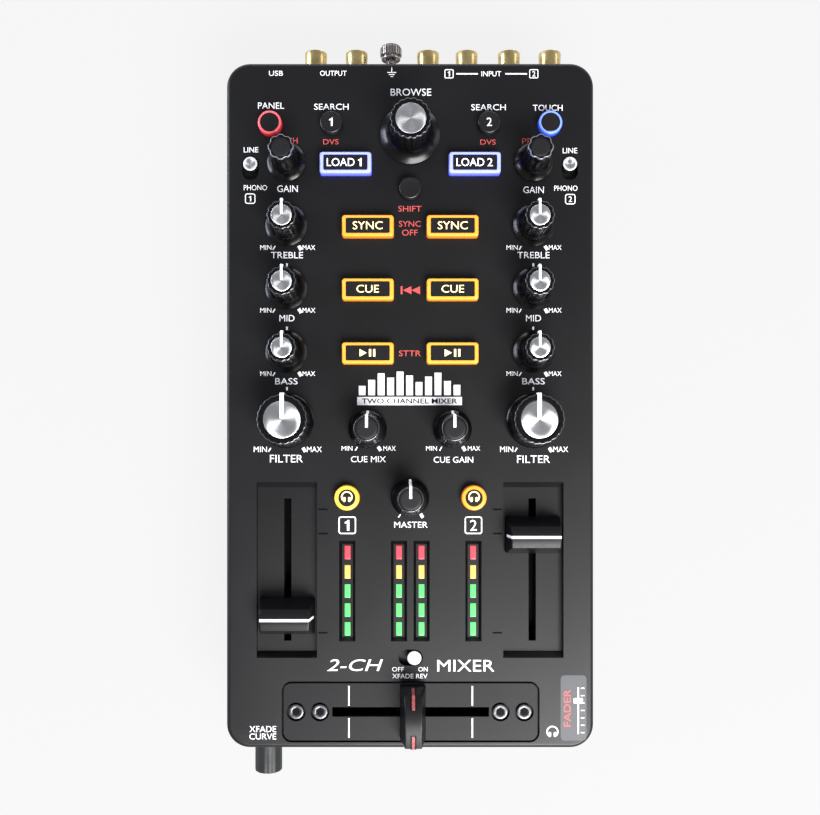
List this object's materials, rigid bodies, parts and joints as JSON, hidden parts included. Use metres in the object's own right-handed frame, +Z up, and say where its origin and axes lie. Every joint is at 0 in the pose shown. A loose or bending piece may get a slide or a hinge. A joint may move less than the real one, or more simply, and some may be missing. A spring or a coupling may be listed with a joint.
{
  "type": "dj mixer",
  "caption": "Compact two-channel battle mixer: upright channel faders, crossfader plate, equaliser and filter knobs, lit transport buttons and a rear row of phono sockets.",
  "frame": {"origin": "on the floor under the centre of the overall box at rest", "axes": "+X to the right of the person playing, +Y to the rear connectors, +Z up out of the panel"},
  "size_m": [0.134, 0.277, 0.0595],
  "materials": {
    "case_top_black": "fine textured matte black with printed white legends",
    "case_bottom_black": "moulded black",
    "case_screw_steel": "black zinc",
    "foot_rubber": "matte",
    "plate_black": "satin black",
    "socket_screw_black": "black oxide",
    "contact_gold": "gold plated",
    "usb_shell": "tinned shell and white tongue",
    "jack_black": "moulded black",
    "ground_metal": "nickel plated",
    "board_green": "solder mask",
    "component_steel": "pressed shell",
    "switch_body": "moulded",
    "led_lens": "clear light pipe",
    "knob_black": "semi-gloss black with white pointer",
    "fader_cap_black": "satin black with printed line",
    "switch_white": "white",
    "button_black": "satin black with white number",
    "button_red": "lit translucent red",
    "button_blue": "lit translucent blue",
    "button_amber": "lit translucent amber",
    "button_yellow": "lit translucent yellow",
    "button_orange": "lit translucent orange"
  },
  "bodies": {
    "root": {"top_case": "case_top_black", "bottom_case": "case_bottom_black", "case_screws": "case_screw_steel", "rubber_feet": "foot_rubber", "crossfader_plate": "plate_black", "crossfader_screws": "socket_screw_black", "rca_sockets": "contact_gold", "usb_socket": "usb_shell", "headphone_sockets": "jack_black", "ground_bushing": "ground_metal", "circuit_boards": "board_green", "rotary_pots": "component_steel", "browse_encoder": "component_steel", "button_switches": "switch_body", "slide_switches": "component_steel", "channel_fader_tracks": "component_steel", "crossfader_track": "component_steel", "meter_leds": "led_lens"},
    "gain_knob_1": {"gain_knob_1": "knob_black"},
    "treble_knob_1": {"treble_knob_1": "knob_black"},
    "mid_knob_1": {"mid_knob_1": "knob_black"},
    "bass_knob_1": {"bass_knob_1": "knob_black"},
    "filter_knob_1": {"filter_knob_1": "knob_black"},
    "gain_knob_2": {"gain_knob_2": "knob_black"},
    "treble_knob_2": {"treble_knob_2": "knob_black"},
    "mid_knob_2": {"mid_knob_2": "knob_black"},
    "bass_knob_2": {"bass_knob_2": "knob_black"},
    "filter_knob_2": {"filter_knob_2": "knob_black"},
    "cue_mix_knob": {"cue_mix_knob": "knob_black"},
    "cue_gain_knob": {"cue_gain_knob": "knob_black"},
    "master_knob": {"master_knob": "knob_black"},
    "curve_knob": {"curve_knob": "knob_black"},
    "browse_plunger": {"browse_plunger": "component_steel"},
    "browse_knob": {"browse_knob": "knob_black"},
    "channel_fader_1": {"channel_fader_cap_1": "fader_cap_black", "channel_fader_lever_1": "component_steel"},
    "channel_fader_2": {"channel_fader_cap_2": "fader_cap_black", "channel_fader_lever_2": "component_steel"},
    "crossfader": {"crossfader_cap": "fader_cap_black", "crossfader_lever": "component_steel"},
    "line_switch_1": {"line_switch_1": "switch_white"},
    "line_switch_2": {"line_switch_2": "switch_white"},
    "reverse_switch": {"reverse_switch": "switch_white"},
    "panel_button": {"panel_button": "button_red"},
    "touch_button": {"touch_button": "button_blue"},
    "search_button_1": {"search_button_1": "button_black"},
    "search_button_2": {"search_button_2": "button_black"},
    "shift_button": {"shift_button": "button_black"},
    "load_button_1": {"load_button_1": "button_blue"},
    "load_button_2": {"load_button_2": "button_blue"},
    "sync_button_1": {"sync_button_1": "button_amber"},
    "sync_button_2": {"sync_button_2": "button_amber"},
    "cue_button_1": {"cue_button_1": "button_amber"},
    "cue_button_2": {"cue_button_2": "button_amber"},
    "play_button_1": {"play_button_1": "button_amber"},
    "play_button_2": {"play_button_2": "button_amber"},
    "monitor_button_1": {"monitor_button_1": "button_yellow"},
    "monitor_button_2": {"monitor_button_2": "button_orange"},
    "ground_washer": {"ground_washer": "ground_metal"},
    "ground_screw": {"ground_screw": "ground_metal"}
  },
  "joints": [
    {"name": "gain_knob_1_turn", "type": "hinge", "parent": "root", "child": "gain_knob_1", "pos_m": [-0.0449, 0.0894, 0.05], "axis": [0, 0, -1], "range_deg": [-150, 150]},
    {"name": "treble_knob_1_turn", "type": "hinge", "parent": "root", "child": "treble_knob_1", "pos_m": [-0.0449, 0.0664, 0.05], "axis": [0, 0, -1], "range_deg": [-150, 150]},
    {"name": "mid_knob_1_turn", "type": "hinge", "parent": "root", "child": "mid_knob_1", "pos_m": [-0.0449, 0.0435, 0.05], "axis": [0, 0, -1], "range_deg": [-150, 150]},
    {"name": "bass_knob_1_turn", "type": "hinge", "parent": "root", "child": "bass_knob_1", "pos_m": [-0.0449, 0.0204, 0.05], "axis": [0, 0, -1], "range_deg": [-150, 150]},
    {"name": "filter_knob_1_turn", "type": "hinge", "parent": "root", "child": "filter_knob_1", "pos_m": [-0.0449, -0.0046, 0.05], "axis": [0, 0, -1], "range_deg": [-150, 150]},
    {"name": "gain_knob_2_turn", "type": "hinge", "parent": "root", "child": "gain_knob_2", "pos_m": [0.0449, 0.0894, 0.05], "axis": [0, 0, -1], "range_deg": [-150, 150]},
    {"name": "treble_knob_2_turn", "type": "hinge", "parent": "root", "child": "treble_knob_2", "pos_m": [0.0449, 0.0664, 0.05], "axis": [0, 0, -1], "range_deg": [-150, 150]},
    {"name": "mid_knob_2_turn", "type": "hinge", "parent": "root", "child": "mid_knob_2", "pos_m": [0.0449, 0.0435, 0.05], "axis": [0, 0, -1], "range_deg": [-150, 150]},
    {"name": "bass_knob_2_turn", "type": "hinge", "parent": "root", "child": "bass_knob_2", "pos_m": [0.0449, 0.0204, 0.05], "axis": [0, 0, -1], "range_deg": [-150, 150]},
    {"name": "filter_knob_2_turn", "type": "hinge", "parent": "root", "child": "filter_knob_2", "pos_m": [0.0449, -0.0046, 0.05], "axis": [0, 0, -1], "range_deg": [-150, 150]},
    {"name": "cue_mix_knob_turn", "type": "hinge", "parent": "root", "child": "cue_mix_knob", "pos_m": [-0.0154, -0.00765, 0.05], "axis": [0, 0, -1], "range_deg": [-150, 150]},
    {"name": "cue_gain_knob_turn", "type": "hinge", "parent": "root", "child": "cue_gain_knob", "pos_m": [0.0154, -0.00765, 0.05], "axis": [0, 0, -1], "range_deg": [-150, 150]},
    {"name": "master_knob_turn", "type": "hinge", "parent": "root", "child": "master_knob", "pos_m": [0, -0.0325, 0.05], "axis": [0, 0, -1], "range_deg": [-150, 150]},
    {"name": "curve_knob_turn", "type": "hinge", "parent": "root", "child": "curve_knob", "pos_m": [-0.0543, -0.1309, 0.021], "axis": [0, 1, 0], "range_deg": [-150, 150]},
    {"name": "browse_push", "type": "slide", "parent": "root", "child": "browse_plunger", "axis": [0, 0, -1], "range_m": [0, 0.0005], "stiffness_N_per_m": 600, "springref_m": -0.001},
    {"name": "browse_knob_turn", "type": "hinge", "parent": "browse_plunger", "child": "browse_knob", "pos_m": [0, 0.0994, 0.05], "axis": [0, 0, -1], "continuous": true},
    {"name": "channel_fader_1_slide", "type": "slide", "parent": "root", "child": "channel_fader_1", "axis": [0, 1, 0], "range_m": [-0.0055, 0.0395]},
    {"name": "channel_fader_2_slide", "type": "slide", "parent": "root", "child": "channel_fader_2", "axis": [0, 1, 0], "range_m": [-0.0351, 0.0099]},
    {"name": "crossfader_slide", "type": "slide", "parent": "root", "child": "crossfader", "axis": [1, 0, 0], "range_m": [-0.0235, 0.0215]},
    {"name": "line_switch_1_slide", "type": "slide", "parent": "root", "child": "line_switch_1", "axis": [0, -1, 0], "range_m": [0, 0.0027]},
    {"name": "line_switch_2_slide", "type": "slide", "parent": "root", "child": "line_switch_2", "axis": [0, -1, 0], "range_m": [0, 0.0027]},
    {"name": "reverse_switch_slide", "type": "slide", "parent": "root", "child": "reverse_switch", "axis": [-1, 0, 0], "range_m": [0, 0.0027]},
    {"name": "panel_button_press", "type": "slide", "parent": "root", "child": "panel_button", "axis": [0, 0, -1], "range_m": [0, 0.0006], "stiffness_N_per_m": 300, "springref_m": -0.001},
    {"name": "touch_button_press", "type": "slide", "parent": "root", "child": "touch_button", "axis": [0, 0, -1], "range_m": [0, 0.0006], "stiffness_N_per_m": 300, "springref_m": -0.001},
    {"name": "search_button_1_press", "type": "slide", "parent": "root", "child": "search_button_1", "axis": [0, 0, -1], "range_m": [0, 0.0006], "stiffness_N_per_m": 300, "springref_m": -0.001},
    {"name": "search_button_2_press", "type": "slide", "parent": "root", "child": "search_button_2", "axis": [0, 0, -1], "range_m": [0, 0.0006], "stiffness_N_per_m": 300, "springref_m": -0.001},
    {"name": "shift_button_press", "type": "slide", "parent": "root", "child": "shift_button", "axis": [0, 0, -1], "range_m": [0, 0.0006], "stiffness_N_per_m": 300, "springref_m": -0.001},
    {"name": "load_button_1_press", "type": "slide", "parent": "root", "child": "load_button_1", "axis": [0, 0, -1], "range_m": [0, 0.0006], "stiffness_N_per_m": 300, "springref_m": -0.001},
    {"name": "load_button_2_press", "type": "slide", "parent": "root", "child": "load_button_2", "axis": [0, 0, -1], "range_m": [0, 0.0006], "stiffness_N_per_m": 300, "springref_m": -0.001},
    {"name": "sync_button_1_press", "type": "slide", "parent": "root", "child": "sync_button_1", "axis": [0, 0, -1], "range_m": [0, 0.0006], "stiffness_N_per_m": 300, "springref_m": -0.001},
    {"name": "sync_button_2_press", "type": "slide", "parent": "root", "child": "sync_button_2", "axis": [0, 0, -1], "range_m": [0, 0.0006], "stiffness_N_per_m": 300, "springref_m": -0.001},
    {"name": "cue_button_1_press", "type": "slide", "parent": "root", "child": "cue_button_1", "axis": [0, 0, -1], "range_m": [0, 0.0006], "stiffness_N_per_m": 300, "springref_m": -0.001},
    {"name": "cue_button_2_press", "type": "slide", "parent": "root", "child": "cue_button_2", "axis": [0, 0, -1], "range_m": [0, 0.0006], "stiffness_N_per_m": 300, "springref_m": -0.001},
    {"name": "play_button_1_press", "type": "slide", "parent": "root", "child": "play_button_1", "axis": [0, 0, -1], "range_m": [0, 0.0006], "stiffness_N_per_m": 300, "springref_m": -0.001},
    {"name": "play_button_2_press", "type": "slide", "parent": "root", "child": "play_button_2", "axis": [0, 0, -1], "range_m": [0, 0.0006], "stiffness_N_per_m": 300, "springref_m": -0.001},
    {"name": "monitor_button_1_press", "type": "slide", "parent": "root", "child": "monitor_button_1", "axis": [0, 0, -1], "range_m": [0, 0.0006], "stiffness_N_per_m": 300, "springref_m": -0.001},
    {"name": "monitor_button_2_press", "type": "slide", "parent": "root", "child": "monitor_button_2", "axis": [0, 0, -1], "range_m": [0, 0.0006], "stiffness_N_per_m": 300, "springref_m": -0.001},
    {"name": "ground_washer_slide", "type": "slide", "parent": "root", "child": "ground_washer", "axis": [0, 1, 0], "range_m": [-0.00279, 0.00209]},
    {"name": "ground_screw_turn", "type": "hinge", "parent": "ground_washer", "child": "ground_screw", "pos_m": [-0.0071, 0.1361, 0.026], "axis": [0, 1, 0], "range_deg": [-1440, 1080]}
  ],
  "couplings": [
    {"joint": "ground_screw_turn", "follows": "ground_washer_slide", "rad_per_m": 8976}
  ]
}
